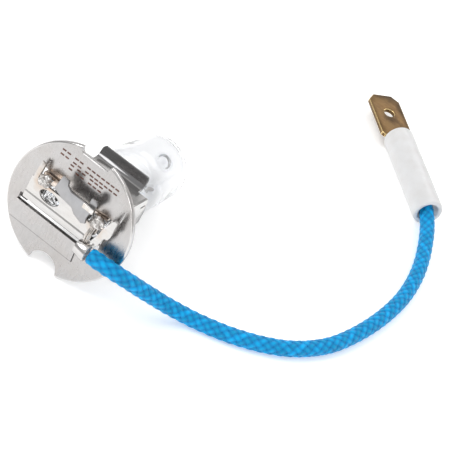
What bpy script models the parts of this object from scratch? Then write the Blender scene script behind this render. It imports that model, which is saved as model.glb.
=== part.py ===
"""Halogen headlight bulb with a clamped quartz capsule and a braided lead.

The bulb is drawn in its own frame and then laid down: x runs across the flat pinch of the glass, y along
the bulb's axis from the flange's rear face (y = 0) to the tip of the glass, z up through the flange's
square key notch.  Numbers are millimetres until mesh_object() and tube() turn them into metres.
"""
import bpy
import bmesh
import math
from mathutils import Matrix, Vector

MM = 0.001

# Flange: the pressed steel disc that seats in the lamp.
FLANGE_R = 11.0
FLANGE_T = 0.8
KEY_NOTCH_HALF = 2.45          # half width of the square notch at the top
KEY_NOTCH_FLOOR = 9.6          # height of that notch's floor above the axis
REST_NOTCH_R = 2.6             # half-round notch at the bottom
REST_NOTCH_Z = -10.75
WINDOW_X = 6.75                # half width of the opening that the clamps pass through
WINDOW_LOW = -3.0
WINDOW_HIGH = 3.9
LOW_FLAP_X = (-8.2, 3.8)       # the flap lanced out of the disc below the opening
LOW_FLAP_CREASE = -6.65
LOW_FLAP_RISE = 0.85
HIGH_FLAP_X = (-6.2, 7.7)      # the smaller flap above the opening
HIGH_FLAP_CREASE = 6.1
HIGH_FLAP_RISE = 0.5            # at its right end; its left end stays flush
LANCE_GAP = 0.2                # width of the slit at a flap's raised end
FLAP_ROOT = 0.6                # how far a flap's solid runs on into the disc

# Clamps: two sheet-metal halves that hold the pinch.
SHEET = 0.4
CLAMP_TOP = 3.65               # outer face of the upper clamp
CLAMP_BOTTOM = -2.55           # outer face of the lower clamp
CLAMP_HALF = 6.4
CLAMP_FRONT = 11.6
CLAMP_TAIL = -1.9              # how far the upper clamp's tail stands out behind the flange
TAIL_HALF = 3.8                # half width of that tail
TAIL_SHOULDER = -0.7           # the plate's rear edge on both sides of it
LIP_HALF = 4.5
LIP_R = 1.3
LIP_CORNER = 0.7               # rounding of the lip's two free corners
LIP_TURN = 75                  # how far the lip bends, degrees
LIP_FLAT = 1.2                 # straight stretch beyond the bend
BACK_PLATE_Y = -1.15           # rear face of the lower clamp's folded back plate
BACK_PLATE_X = (-7.3, 4.3)
PLATE_STEP = 2.9               # where the back plate steps down towards the cable
RIDGE_RIGHT = 4.2              # where the fold ends on the cable's side
BACK_PLATE_TOP = 2.1
PORT_X, PORT_Z = -3.35, 0.7    # oval window in the back plate
PORT_HALF_X, PORT_HALF_Z = 1.85, 1.0

# Glass: pinch, then a round bulb.
PINCH_X, PINCH_Z = 5.5, 1.7
PINCH_Y0, PINCH_Y1 = 1.2, 11.2
BULB_Y0 = 16.5
BULB_R = 5.6
BULB_Y1 = 26.3
DOME = 3.1
WALL = 0.9
TIP_R = 0.75
TIP_H = 0.6

# Light source and its current path inside the glass.
LIGHT_Y = 18.0                 # light centre length
COIL_LENGTH = 4.6
COIL_R = 0.65
COIL_WIRE_R = 0.13
COIL_TURNS = 9
LEAD_X = 2.9
INNER_LEAD_R = 0.22
FOIL_Y = (3.0, 9.0)
FOIL_HALF = 0.8
FOIL_T = 0.1
SLOT_Z = 0.62                  # half height of the channels in the pinch
SLOT_HALF = 1.0
OUTER_LEAD_R = 0.25

# Lead and terminal.
CORD_R = 1.26
BARREL_X = (4.4, 6.5)
BARREL_R = 1.48                # at the mouth
BARREL_NECK_R = 1.15           # at the inner end
BARREL_BORE = 1.2
BARREL_WALL = 0.25
BARREL_Y, BARREL_Z = -2.5, -1.9
CONDUCTOR_R = 0.45
SEAM_X = (4.85, 5.75)          # opening in the barrel's seam for the bare conductor
SEAM_HALF = 0.5
TERMINAL_AT = Vector((36.3, 51.05, 2.76))     # centre of the sleeve's cable end
TERMINAL_DIR = Vector((-0.729, 0.684, 0.0)).normalized()
SLEEVE_LENGTH = 19.2
SLEEVE_R = 2.75
SLEEVE_BORE = 2.15
BLADE_LENGTH = 11.0
BLADE_HALF = 3.15
BLADE_T = 0.8
BLADE_HOLE_R = 1.0
HOLE_TO_TIP = 4.9
BULB_Y = -12.55                # where the flange's rear face crosses the table's y axis

# The lead's centreline from the clamp to inside the sleeve, on the table from the tenth point on.
CORD_ROUTE = [
    (6.85, -15.35, 9.2), (8.3, -15.25, 9.15), (10, -14.85, 8.9), (11.6, -14.05, 8.3), (13.2, -12.75, 7.3),
    (14.9, -10.95, 5.8), (16.5, -9.25, 4.45), (18.2, -7.65, 3.2), (20, -6.15, 2.2), (21.9, -4.95, 1.55),
    (23.8, -4.05, 1.3), (27.2, -2.65, 1.27), (30.3, -1, 1.27), (33.2, 0.95, 1.27), (35.9, 3.3, 1.27),
    (38.3, 6.35, 1.27), (40.3, 10.05, 1.27), (41.7, 14.55, 1.27), (42.65, 19.45, 1.27), (43.2, 24.75, 1.27),
    (43.2, 30.35, 1.27), (42.4, 36.15, 1.27), (40.9, 41.65, 1.35), (38.8, 46.75, 1.7), (37, 49.85, 2.2),
    (35.3, 51.95, 2.6), (33.4, 53.75, 2.76),
]

for old in list(bpy.data.objects):
    bpy.data.objects.remove(old, do_unlink=True)


# ---------------------------------------------------------------- materials
def material(name, colour, roughness, metallic, transmission=0.0):
    """A Principled material; the same name gives the same material."""
    found = bpy.data.materials.get(name)
    if found:
        return found
    made = bpy.data.materials.new(name)
    made.use_nodes = True
    shader = made.node_tree.nodes["Principled BSDF"]
    shader.inputs["Base Color"].default_value = (*colour, 1.0)
    shader.inputs["Roughness"].default_value = roughness
    shader.inputs["Metallic"].default_value = metallic
    shader.inputs["Transmission Weight"].default_value = transmission
    made.diffuse_color = (*colour, 1.0)
    return made


FLANGE_STEEL = material("flange_steel", (0.62, 0.61, 0.60), 0.32, 1.0)
CLAMP_STEEL = material("clamp_steel", (0.68, 0.67, 0.66), 0.18, 1.0)
RETAINER_STEEL = material("retainer_steel", (0.50, 0.50, 0.51), 0.25, 1.0)
QUARTZ = material("quartz_glass", (0.95, 0.96, 0.97), 0.02, 0.0, 1.0)
TUNGSTEN = material("tungsten", (0.30, 0.29, 0.30), 0.40, 1.0)
MOLYBDENUM = material("molybdenum", (0.48, 0.47, 0.47), 0.35, 1.0)
NICKEL = material("nickel_wire", (0.66, 0.64, 0.60), 0.28, 1.0)
WELD = material("weld_metal", (0.55, 0.53, 0.50), 0.45, 1.0)
COPPER = material("tinned_copper", (0.72, 0.62, 0.52), 0.35, 1.0)
BRASS = material("aged_brass", (0.46, 0.33, 0.13), 0.35, 1.0)
BLUE_BRAID = material("blue_braid", (0.0, 0.25, 0.75), 0.55, 0.0)
WHITE_SLEEVE = material("white_sleeve", (0.88, 0.89, 0.90), 0.45, 0.0)
CORE_RUBBER = material("core_insulation", (0.80, 0.80, 0.78), 0.60, 0.0)


# ---------------------------------------------------------------- building blocks
def mesh_object(name, points, faces, paint, parent=None, smooth_deg=35.0):
    """An object from points in millimetres, its faces turned outwards."""
    mesh = bpy.data.meshes.new(name)
    mesh.from_pydata([Vector(p) * MM for p in points], [], faces)
    work = bmesh.new()
    work.from_mesh(mesh)
    bmesh.ops.remove_doubles(work, verts=work.verts, dist=1e-7)
    bmesh.ops.recalc_face_normals(work, faces=work.faces)
    work.to_mesh(mesh)
    work.free()
    mesh.shade_smooth()
    mesh.set_sharp_from_angle(angle=math.radians(smooth_deg))
    made = bpy.data.objects.new(name, mesh)
    made.data.materials.append(paint)
    bpy.context.collection.objects.link(made)
    made.parent = parent
    return made


def prism(name, outline, low, high, axis, paint=None, parent=None):
    """The outline pushed from low to high along axis x, y or z; its own axes are the other two."""
    place = {
        "x": lambda a, b, h: (h, a, b),
        "y": lambda a, b, h: (a, h, b),
        "z": lambda a, b, h: (a, b, h),
    }[axis]
    count = len(outline)
    points = [place(a, b, low) for a, b in outline] + [place(a, b, high) for a, b in outline]
    faces = [tuple(range(count)), tuple(reversed(range(count, 2 * count)))]
    faces += [(i, (i + 1) % count, count + (i + 1) % count, count + i) for i in range(count)]
    return mesh_object(name, points, faces, paint or CLAMP_STEEL, parent)


def turned(name, profile, sides, paint, parent=None, centre=(0.0, 0.0), closed=False):
    """The profile of (radius, y) spun round the y axis; a closed profile makes a ring."""
    points, faces, rings = [], [], []
    for radius, y in profile:
        if radius < 1e-6:
            rings.append([len(points)] * sides)
            points.append((centre[0], y, centre[1]))
            continue
        rings.append(list(range(len(points), len(points) + sides)))
        for k in range(sides):
            turn = 2 * math.pi * k / sides
            points.append((centre[0] + radius * math.cos(turn), y, centre[1] + radius * math.sin(turn)))
    pairs = list(zip(rings, rings[1:])) + ([(rings[-1], rings[0])] if closed else [])
    for a, b in pairs:
        for k in range(sides):
            ring = [a[k], a[(k + 1) % sides], b[(k + 1) % sides], b[k]]
            face = list(dict.fromkeys(ring))
            if len(face) > 2:
                faces.append(face)
    return mesh_object(name, points, faces, paint, parent)


def arc(centre, radius, start, end, steps):
    """Points on an arc, angles in degrees."""
    turns = [math.radians(start + (end - start) * k / steps) for k in range(steps + 1)]
    return [(centre[0] + radius * math.cos(t), centre[1] + radius * math.sin(t)) for t in turns]


def rounded(corners, radius, steps=4):
    """The corner points with each inner corner replaced by a fillet."""
    out = [Vector(corners[0])]
    for before, here, after in zip(corners, corners[1:], corners[2:]):
        here = Vector(here)
        back, on = (Vector(before) - here), (Vector(after) - here)
        reach = min(radius / max(math.tan(back.angle(on) / 2), 1e-6), 0.49 * back.length, 0.49 * on.length)
        start, end = here + back.normalized() * reach, here + on.normalized() * reach
        for k in range(steps + 1):
            t = k / steps
            out.append((1 - t) ** 2 * start + 2 * t * (1 - t) * here + t * t * end)
    return out + [Vector(corners[-1])]


def sheet_profile(centre_path, thickness):
    """The closed outline of a sheet that follows the path, half its thickness to each side."""
    path = [Vector(p) for p in centre_path]
    left, right = [], []
    for i, here in enumerate(path):
        before, after = path[max(i - 1, 0)], path[min(i + 1, len(path) - 1)]
        along = (after - before).normalized()
        side = Vector((-along.y, along.x)) * thickness / 2
        left.append(here + side)
        right.append(here - side)
    return left + right[::-1]


def boolean(target, tool, operation="DIFFERENCE"):
    """Apply another shape to the target; the tool becomes a hidden guide."""
    step = target.modifiers.new(operation.lower(), "BOOLEAN")
    step.operation = operation
    step.solver = "EXACT"
    step.object = tool
    tool.hide_render = True
    tool.display_type = "WIRE"


def tube(name, points, radius, paint, parent=None, resolution=2):
    """A round wire or cord through the points."""
    curve = bpy.data.curves.new(name, "CURVE")
    curve.dimensions = "3D"
    curve.bevel_depth = radius * MM
    curve.bevel_resolution = resolution
    curve.use_fill_caps = True
    spline = curve.splines.new("POLY")
    spline.points.add(len(points) - 1)
    for slot, p in zip(spline.points, points):
        slot.co = (*(Vector(p) * MM), 1.0)
    curve.materials.append(paint)
    made = bpy.data.objects.new(name, curve)
    bpy.context.collection.objects.link(made)
    made.parent = parent
    return made


def smooth_path(route, step):
    """Points about a step apart on a Catmull-Rom curve through the route."""
    pts = [Vector(p) for p in route]
    pts = [2 * pts[0] - pts[1]] + pts + [2 * pts[-1] - pts[-2]]
    out = []
    for a, b, c, d in zip(pts, pts[1:], pts[2:], pts[3:]):
        count = max(1, round((c - b).length / step))
        for k in range(count):
            t = k / count
            out.append(0.5 * (2 * b + (c - a) * t + (2 * a - 5 * b + 4 * c - d) * t ** 2
                              + (3 * b - a - 3 * c + d) * t ** 3))
    return out + [pts[-2]]


# ---------------------------------------------------------------- the bulb's resting pose
def glass_profile():
    """Outer profile of the round glass as (radius, y), from the shoulder above the pinch to the tip."""
    dome = []
    for k in range(1, 9):
        t = math.radians(90 * k / 9)
        dome.append((BULB_R * math.cos(t) ** 0.62, BULB_Y1 + DOME * math.sin(t) ** 0.9))
    top = BULB_Y1 + DOME
    tip = [(TIP_R, top - 0.02), (0.6 * TIP_R, top + 0.7 * TIP_H), (0.0, top + TIP_H)]
    return [(BULB_R, BULB_Y0), (BULB_R, BULB_Y1)] + dome + tip


def support(points, tilt):
    """How far the turned points reach below the axis when the glass end is tipped down by tilt."""
    return max(radius * math.cos(tilt) + y * math.sin(tilt) for radius, y in points)


def rest_tilt():
    """The tilt at which the notch's two corners and the glass touch the table together."""
    corner_z = (FLANGE_R ** 2 + REST_NOTCH_Z ** 2 - REST_NOTCH_R ** 2) / (2 * abs(REST_NOTCH_Z))
    feet = [(corner_z, 0.0), (corner_z, FLANGE_T)]
    low, high = 0.0, math.radians(30)
    for _ in range(50):
        middle = (low + high) / 2
        if support(glass_profile(), middle) < support(feet, middle):
            low = middle
        else:
            high = middle
    return low, support(feet, low)


TILT, AXIS_HEIGHT = rest_tilt()
bulb_frame = bpy.data.objects.new("bulb_frame", None)
bpy.context.collection.objects.link(bulb_frame)
ON_TABLE = Matrix.Translation(Vector((0.0, BULB_Y, AXIS_HEIGHT)) * MM)
bulb_frame.matrix_world = ON_TABLE @ Matrix.Rotation(-TILT, 4, "X")


def join(target, name, outline, low, high, axis):
    """Fuse a prism to the target, in the bulb's frame."""
    boolean(target, prism(name, outline, low, high, axis, parent=bulb_frame), "UNION")


def cut(target, name, outline, low, high, axis):
    """Cut a prism from the target, in the bulb's frame."""
    boolean(target, prism(name, outline, low, high, axis, parent=bulb_frame))


def box_outline(x0, x1, z0, z1):
    """The four corners of a rectangle."""
    return [(x0, z0), (x1, z0), (x1, z1), (x0, z1)]


# ---------------------------------------------------------------- flange
def flange_outline():
    """The disc with its square key notch at the top and half-round notch at the bottom."""
    corner_z = -(FLANGE_R ** 2 + REST_NOTCH_Z ** 2 - REST_NOTCH_R ** 2) / (2 * abs(REST_NOTCH_Z))
    corner_x = math.sqrt(FLANGE_R ** 2 - corner_z ** 2)
    bottom = math.degrees(math.atan2(corner_z, corner_x))
    mouth = KEY_NOTCH_HALF + 0.3
    top = math.degrees(math.asin(math.sqrt(FLANGE_R ** 2 - mouth ** 2) / FLANGE_R))
    notch_turn = math.degrees(math.atan2(corner_z - REST_NOTCH_Z, corner_x))
    right = arc((0, 0), FLANGE_R, bottom, top, 22)
    key = [(KEY_NOTCH_HALF + 0.1, KEY_NOTCH_FLOOR + 0.35), (KEY_NOTCH_HALF - 0.2, KEY_NOTCH_FLOOR),
           (0.2 - KEY_NOTCH_HALF, KEY_NOTCH_FLOOR), (-KEY_NOTCH_HALF - 0.1, KEY_NOTCH_FLOOR + 0.35)]
    left = arc((0, 0), FLANGE_R, 180 - top, 180 - bottom, 22)
    notch = arc((0, REST_NOTCH_Z), REST_NOTCH_R, 180 - notch_turn, notch_turn, 10)[1:-1]
    return right + key + left + notch


def flap(name, span, crease, edge, rises):
    """A lanced flap from its crease on the disc to its free edge, raised by one amount at each end."""
    root = crease - math.copysign(FLAP_ROOT, edge - crease)
    points = []
    for x, rise in zip(span, rises):
        outline = [(0.0, root), (FLANGE_T, root), (FLANGE_T, crease),
                   (FLANGE_T - rise, edge), (-rise, edge), (0.0, crease)]
        points += [(x, y, z) for y, z in outline]
    faces = [tuple(range(6)), tuple(range(11, 5, -1))]
    faces += [(i, (i + 1) % 6, 6 + (i + 1) % 6, 6 + i) for i in range(6)]
    return mesh_object(name, points, faces, FLANGE_STEEL, bulb_frame)


def make_flange():
    disc = prism("flange_disc", flange_outline(), 0.0, FLANGE_T, "y", FLANGE_STEEL, bulb_frame)
    window = box_outline(-WINDOW_X, WINDOW_X, WINDOW_LOW, WINDOW_HIGH)
    low = box_outline(LOW_FLAP_X[0], LOW_FLAP_X[1] + LANCE_GAP, LOW_FLAP_CREASE, WINDOW_LOW + 0.2)
    high = box_outline(HIGH_FLAP_X[0], HIGH_FLAP_X[1] + LANCE_GAP, WINDOW_HIGH - 0.2, HIGH_FLAP_CREASE)
    for label, outline in (("window", window), ("low_lance", low), ("high_lance", high)):
        cut(disc, label + "_cutter", outline, -1.0, FLANGE_T + 1.0, "y")
    low_rises, high_rises = (LOW_FLAP_RISE, LOW_FLAP_RISE), (0.05, HIGH_FLAP_RISE)
    boolean(disc, flap("low_flap_shape", LOW_FLAP_X, LOW_FLAP_CREASE, WINDOW_LOW, low_rises), "UNION")
    boolean(disc, flap("high_flap_shape", HIGH_FLAP_X, HIGH_FLAP_CREASE, WINDOW_HIGH, high_rises), "UNION")
    return disc


# ---------------------------------------------------------------- clamps
def lip_path(plate_z, outward):
    """Centreline of a clamp's front lip, flaring outwards from its plate."""
    bend = arc((0, 0), LIP_R, 0, LIP_TURN, 5)
    z, y = bend[-1]
    turn = math.radians(LIP_TURN)
    bend.append((z - LIP_FLAT * math.sin(turn), y + LIP_FLAT * math.cos(turn)))
    return [(CLAMP_FRONT + y, plate_z + outward * (LIP_R - z)) for z, y in bend]


def round_lip(plate, label, end, outward):
    """Round the two free corners of a lip whose edge is at height end."""
    top, reach = end + outward * 0.05, LIP_HALF - LIP_CORNER
    for side in (-1, 1):
        bow = arc((reach, LIP_CORNER), LIP_CORNER, 270, 360, 6)
        outline = [(reach, -1.0), (LIP_HALF + 1.0, -1.0), (LIP_HALF + 1.0, LIP_CORNER)] + bow[::-1]
        corner = [(side * x, top - outward * z) for x, z in outline]
        cut(plate, f"{label}_corner_cutter_{side}", corner, CLAMP_FRONT, CLAMP_FRONT + 3.0, "y")


def make_upper_clamp():
    """Top plate, two side walls and the flared front lip."""
    middle = CLAMP_TOP - SHEET / 2
    half = CLAMP_HALF - 0.35
    left = [(-half, CLAMP_FRONT - 0.6), (-half, TAIL_SHOULDER),
            (-TAIL_HALF, TAIL_SHOULDER), (-TAIL_HALF, CLAMP_TAIL)]
    plan = left + [(-x, y) for x, y in reversed(left)]
    plate = prism("upper_clamp", plan, CLAMP_TOP - SHEET, CLAMP_TOP, "z", CLAMP_STEEL, bulb_frame)
    lip = [(CLAMP_FRONT - 1.2, middle)] + lip_path(middle, 1)
    join(plate, "upper_lip_shape", sheet_profile(lip, SHEET), -LIP_HALF, LIP_HALF, "x")
    round_lip(plate, "upper", lip[-1][1], 1)
    for side in (-1, 1):
        outer, inner = side * CLAMP_HALF, side * (CLAMP_HALF - SHEET)
        wall = [(1.1, CLAMP_TOP - 0.1), (CLAMP_FRONT - 0.4, CLAMP_TOP - 0.1), (CLAMP_FRONT + 0.9, 0.6),
                (CLAMP_FRONT + 0.9, -1.4), (CLAMP_FRONT - 0.2, -2.1), (1.1, -2.1)]
        join(plate, f"side_wall_shape_{side}", wall, min(outer, inner), max(outer, inner), "x")
    slot = box_outline(CLAMP_FRONT - 1.6, CLAMP_FRONT - 0.2, 2.0, 2.35)
    cut(plate, "side_slot_cutter", slot, -CLAMP_HALF - 1, CLAMP_HALF + 1, "x")
    return plate


def oval(cx, cz, half_x, half_z, sides=20):
    """Points round an oval."""
    turns = [2 * math.pi * k / sides for k in range(sides)]
    return [(cx + half_x * math.cos(t), cz + half_z * math.sin(t)) for t in turns]


def make_lower_clamp():
    """Bottom plate with its front lip, folded up behind the flange into a back plate with a window."""
    middle = CLAMP_BOTTOM + SHEET / 2
    back = BACK_PLATE_Y + SHEET / 2
    half = CLAMP_HALF - SHEET - 0.15
    floor = [(CLAMP_FRONT - 0.6, middle), (1.0, middle)]
    plate = prism("lower_clamp", sheet_profile(floor, SHEET), -half, half, "x", CLAMP_STEEL, bulb_frame)
    lip = [(CLAMP_FRONT - 1.2, middle)] + lip_path(middle, -1)
    bead = [(back + 0.05, middle + 0.55), (back - 0.12, middle + 1.0), (back - 0.1, middle + 1.55),
            (back, middle + 1.85)]
    fold = rounded([(1.3, middle), (0.2, middle)] + bead + [(back, BACK_PLATE_TOP)], 0.5, 3)
    rear = rounded(bead + [(back, BACK_PLATE_TOP)], 0.5, 3)
    join(plate, "lower_lip_shape", sheet_profile(lip, SHEET), -LIP_HALF, LIP_HALF, "x")
    round_lip(plate, "lower", lip[-1][1], -1)
    join(plate, "fold_shape", sheet_profile(fold, SHEET), -half, PLATE_STEP, "x")
    ridge = rounded([(1.3, middle), (0.2, middle)] + bead + [(back, -0.3)], 0.5, 3)
    join(plate, "ridge_end_shape", sheet_profile(ridge, 0.96 * SHEET), PLATE_STEP - 0.4, RIDGE_RIGHT, "x")
    left, right = BACK_PLATE_X
    join(plate, "wing_shape", sheet_profile(rear, SHEET), left, 0.5 - half, "x")
    ear = [(left, BACK_PLATE_TOP - 1.2), (-6.0, BACK_PLATE_TOP - 1.2), (-6.0, BACK_PLATE_TOP - 0.3),
           (-6.35, BACK_PLATE_TOP + 0.2), (-6.2, 5.0), (-6.95, 5.1), (-7.1, BACK_PLATE_TOP)]
    join(plate, "ground_ear_shape", ear, BACK_PLATE_Y, BACK_PLATE_Y + SHEET, "y")
    tab = [(PLATE_STEP - 0.5, -0.85), (right, -0.7), (right + 0.6, -0.3), (right + 1.3, 0.6),
           (right + 1.3, BACK_PLATE_TOP - 0.5),
           (PLATE_STEP - 0.5, BACK_PLATE_TOP - 0.5)]
    join(plate, "tab_shape", tab, BACK_PLATE_Y + 0.01, BACK_PLATE_Y + SHEET - 0.01, "y")
    port = oval(PORT_X, PORT_Z, PORT_HALF_X, PORT_HALF_Z)
    cut(plate, "port_cutter", port, BACK_PLATE_Y - 1, BACK_PLATE_Y + 1.2, "y")
    return plate


def make_retainer():
    """Flat spring plate over the upper clamp's tail, with two prongs that reach over the flange."""
    y0 = CLAMP_TAIL - 0.1 - SHEET
    outline = [(-2.5, 6.0), (-1.35, 6.0), (-1.1, 5.2), (-0.2, 4.65), (3.0, 4.65), (3.0, 5.95),
               (4.0, 6.0), (4.3, 5.35), (4.1, 4.2), (3.75, 3.5), (3.65, 2.65), (3.85, 1.8),
               (3.2, 1.4), (1.6, 1.9), (0.8, 2.6), (-1.35, 2.85), (-2.9, 3.5)]
    return prism("retainer_plate", outline, y0, y0 + SHEET, "y", RETAINER_STEEL, bulb_frame)


def make_contact_strip():
    """Bright nickel strip that joins the live lead to the cable's weld."""
    y0 = CLAMP_TAIL - 0.25 - 2 * SHEET
    profile = [(y0, 4.95), (y0, 4.15)]
    outline = sheet_profile(profile, 0.3)
    return prism("contact_strip", outline, 2.45, 4.4, "x", NICKEL, bulb_frame)


# ---------------------------------------------------------------- glass
def section(y, half_x, half_z, power, sides=32):
    """One ring of the glass: an oval at power 2, nearly a rectangle at a higher power."""
    ring = []
    for k in range(sides):
        t = 2 * math.pi * (k + 0.5) / sides
        c, s = math.cos(t), math.sin(t)
        ring.append((half_x * math.copysign(abs(c) ** (2 / power), c), y,
                     half_z * math.copysign(abs(s) ** (2 / power), s)))
    return ring


def make_glass():
    """Fused quartz: flat pinch, neck and round bulb, hollow inside, with a channel for each foil."""
    rings = [section(y, PINCH_X, PINCH_Z, 8) for y in (PINCH_Y0, PINCH_Y1 - 1.0, PINCH_Y1)]
    for k in range(1, 7):
        t = k / 7
        ease = t * t * (3 - 2 * t)
        rings.append(section(PINCH_Y1 + (BULB_Y0 - PINCH_Y1) * t, PINCH_X + (BULB_R - PINCH_X) * ease,
                             PINCH_Z + (BULB_R - PINCH_Z) * ease, 8 + (2 - 8) * min(1.0, 1.6 * ease)))
    for radius, y in glass_profile()[:-1]:
        rings.append(section(y, radius, radius, 2))
    points = [p for ring in rings for p in ring]
    sides = len(rings[0])
    faces = [tuple(range(sides))]
    for i in range(len(rings) - 1):
        for k in range(sides):
            a, b = i * sides + k, i * sides + (k + 1) % sides
            faces.append((a, b, b + sides, a + sides))
    tip = len(points)
    points.append((0.0, glass_profile()[-1][1], 0.0))
    last = (len(rings) - 1) * sides
    faces += [(last + k, last + (k + 1) % sides, tip) for k in range(sides)]
    glass = mesh_object("glass_envelope", points, faces, QUARTZ, bulb_frame)
    bore = BULB_R - WALL
    inner = [(0.0, 12.4), (1.6, 12.6), (3.2, 14.2), (4.3, 16.2), (bore, 17.4), (bore, BULB_Y1)]
    for k in range(1, 7):
        t = math.radians(90 * k / 7)
        inner.append((bore * math.cos(t) ** 0.62, BULB_Y1 + (DOME - WALL) * math.sin(t) ** 0.9))
    inner.append((0.0, BULB_Y1 + DOME - WALL))
    boolean(glass, turned("cavity_cutter", inner, 28, QUARTZ, bulb_frame))
    for side in (-1, 1):
        x0, x1 = side * LEAD_X - SLOT_HALF, side * LEAD_X + SLOT_HALF
        channel = box_outline(x0, x1, -SLOT_Z, SLOT_Z)
        cut(glass, f"channel_cutter_{side}", channel, PINCH_Y0 - 1.0, 14.0, "y")
    return glass


# ---------------------------------------------------------------- current path inside the glass
def make_filament():
    """Single tungsten coil across the bulb, its two tails reaching the inner leads."""
    steps = 10
    coil = []
    for k in range(COIL_TURNS * steps + 1):
        turn = 2 * math.pi * k / steps
        along = -COIL_LENGTH / 2 + COIL_LENGTH * k / (COIL_TURNS * steps)
        coil.append((along, LIGHT_Y + COIL_R * math.cos(turn), COIL_R * math.sin(turn)))
    start = [(coil[0][0] - 0.3, LIGHT_Y + COIL_R, 0.0)]
    end = [(coil[-1][0] + 0.3, LIGHT_Y + COIL_R, 0.0)]
    return tube("filament_coil", start + coil + end, COIL_WIRE_R, TUNGSTEN, bulb_frame, 1)


def make_inner_leads():
    for side, name in ((-1, "inner_lead_ground"), (1, "inner_lead_live")):
        x = side * LEAD_X
        on_foil = FOIL_T / 2 + INNER_LEAD_R + 0.02
        path = [(x, 8.0, on_foil), (x, 12.0, 0.0), (x, LIGHT_Y - 2.0, 0.0), (x + side * 0.1, LIGHT_Y, 0.0),
                (x, LIGHT_Y + 1.1, 0.0)]
        tube(name, smooth_path(path, 1.2), INNER_LEAD_R, MOLYBDENUM, bulb_frame, 1)


def make_foils():
    for side, name in ((-1, "foil_ground"), (1, "foil_live")):
        x = side * LEAD_X
        outline = box_outline(x - FOIL_HALF, x + FOIL_HALF, *FOIL_Y)
        prism(name, outline, -FOIL_T / 2, FOIL_T / 2, "z", MOLYBDENUM, bulb_frame)


def ball(name, centre, radii, paint):
    """A lumpy weld bead."""
    bead = bpy.data.meshes.new(name)
    work = bmesh.new()
    bmesh.ops.create_icosphere(work, subdivisions=2, radius=1.0)
    for v in work.verts:
        lump = 1.0 + 0.08 * math.sin(5 * v.co.x + 2) * math.cos(4 * v.co.z + 3 * v.co.y)
        v.co = Vector([(c + r * lump * q) * MM for c, r, q in zip(centre, radii, v.co)])
    work.to_mesh(bead)
    work.free()
    bead.shade_smooth()
    bead.materials.append(paint)
    made = bpy.data.objects.new(name, bead)
    bpy.context.collection.objects.link(made)
    made.parent = bulb_frame
    return made


def make_outer_leads():
    """Round leads from the foils to the weld beads behind the flange."""
    dip = -(FOIL_T / 2 + OUTER_LEAD_R + 0.03)
    ground = [(-LEAD_X, 4.0, dip), (-LEAD_X, 2.0, dip), (-LEAD_X, 0.7, 0.1), (-3.1, 0.3, 1.6),
              (-3.6, -0.3, 2.75), (-3.95, -1.3, 2.95)]
    live = [(LEAD_X, 4.0, dip), (LEAD_X, 2.0, dip), (LEAD_X, 0.8, 0.0), (3.1, 0.3, 1.6),
            (3.7, -0.3, 2.6), (4.2, -1.1, 2.7)]
    tube("outer_lead_ground", smooth_path(ground, 0.7), OUTER_LEAD_R, NICKEL, bulb_frame, 1)
    tube("outer_lead_live", smooth_path(live, 0.7), OUTER_LEAD_R, NICKEL, bulb_frame, 1)


def make_welds():
    ball("weld_ground", (-5.0, -1.6, 2.95), (1.0, 0.62, 0.85), WELD)
    ball("weld_live", (5.3, -1.6, 2.75), (1.1, 0.85, 1.0), WELD)


# ---------------------------------------------------------------- cable clamp and cable end
BARREL_TURN = Matrix.Translation(Vector((0, BARREL_Y, BARREL_Z)) * MM) @ Matrix.Rotation(-math.pi / 2, 4, "Z")


def make_cable_clamp():
    """Rolled barrel on the lead, with the ear that ties it to the clamps."""
    sides = 20
    neck, mouth = BARREL_X
    ring = [(BARREL_NECK_R - BARREL_WALL, neck), (BARREL_NECK_R, neck), (BARREL_R, mouth - 0.3),
            (BARREL_R - 0.05, mouth), (BARREL_BORE, mouth)]
    barrel = turned("cable_clamp", ring, sides, CLAMP_STEEL, bulb_frame, closed=True)
    barrel.data.transform(BARREL_TURN)
    ear = [(6.0, -0.64), (6.9, -0.5), (7.35, 0.8), (7.6, 1.8), (8.15, 1.95), (8.35, 2.6), (8.3, 5.1),
           (7.95, 5.5), (7.5, 4.9), (6.7, 2.9), (6.5, 1.6), (6.0, 0.4)]
    shape = prism("cable_ear_shape", ear, BARREL_Y, BARREL_Y + SHEET, "y", parent=bulb_frame)
    boolean(barrel, shape, "UNION")
    seam = box_outline(*SEAM_X, BARREL_Y - SEAM_HALF, BARREL_Y + SEAM_HALF)
    cut(barrel, "seam_cutter", seam, BARREL_Z + 0.3, BARREL_Z + 2.0, "z")
    return barrel


def make_cable_end():
    """Core insulation in the barrel, and the bare conductor that runs up to the live weld."""
    ring = [(CONDUCTOR_R, 5.8), (0.96, 5.8), (1.02, 6.3), (CONDUCTOR_R, 6.3)]
    core = turned("core_insulation", ring, 16, CORE_RUBBER, bulb_frame, closed=True)
    core.data.transform(BARREL_TURN)
    bare = [(6.2, BARREL_Y, BARREL_Z), (5.75, BARREL_Y, BARREL_Z), (5.35, BARREL_Y, BARREL_Z + 0.3),
            (5.25, BARREL_Y, BARREL_Z + 1.1), (5.25, BARREL_Y - 0.1, BARREL_Z + 2.3),
            (5.2, BARREL_Y + 0.1, BARREL_Z + 3.3)]
    tube("conductor_strand", smooth_path(bare, 0.7), CONDUCTOR_R - 0.1, COPPER, bulb_frame)


def make_cord():
    tube("lead_cable", smooth_path(CORD_ROUTE, 2.6), CORD_R - 0.01, BLUE_BRAID)


# ---------------------------------------------------------------- terminal
def terminal_frame():
    """x across the blade, y along it away from the cable, z up, at the sleeve's cable end."""
    y_axis = TERMINAL_DIR
    x_axis = y_axis.cross(Vector((0, 0, 1)))
    turn = Matrix((x_axis, y_axis, Vector((0, 0, 1)))).transposed().to_4x4()
    holder = bpy.data.objects.new("terminal_frame", None)
    bpy.context.collection.objects.link(holder)
    holder.matrix_world = Matrix.Translation(TERMINAL_AT * MM) @ turn
    return holder


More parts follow.
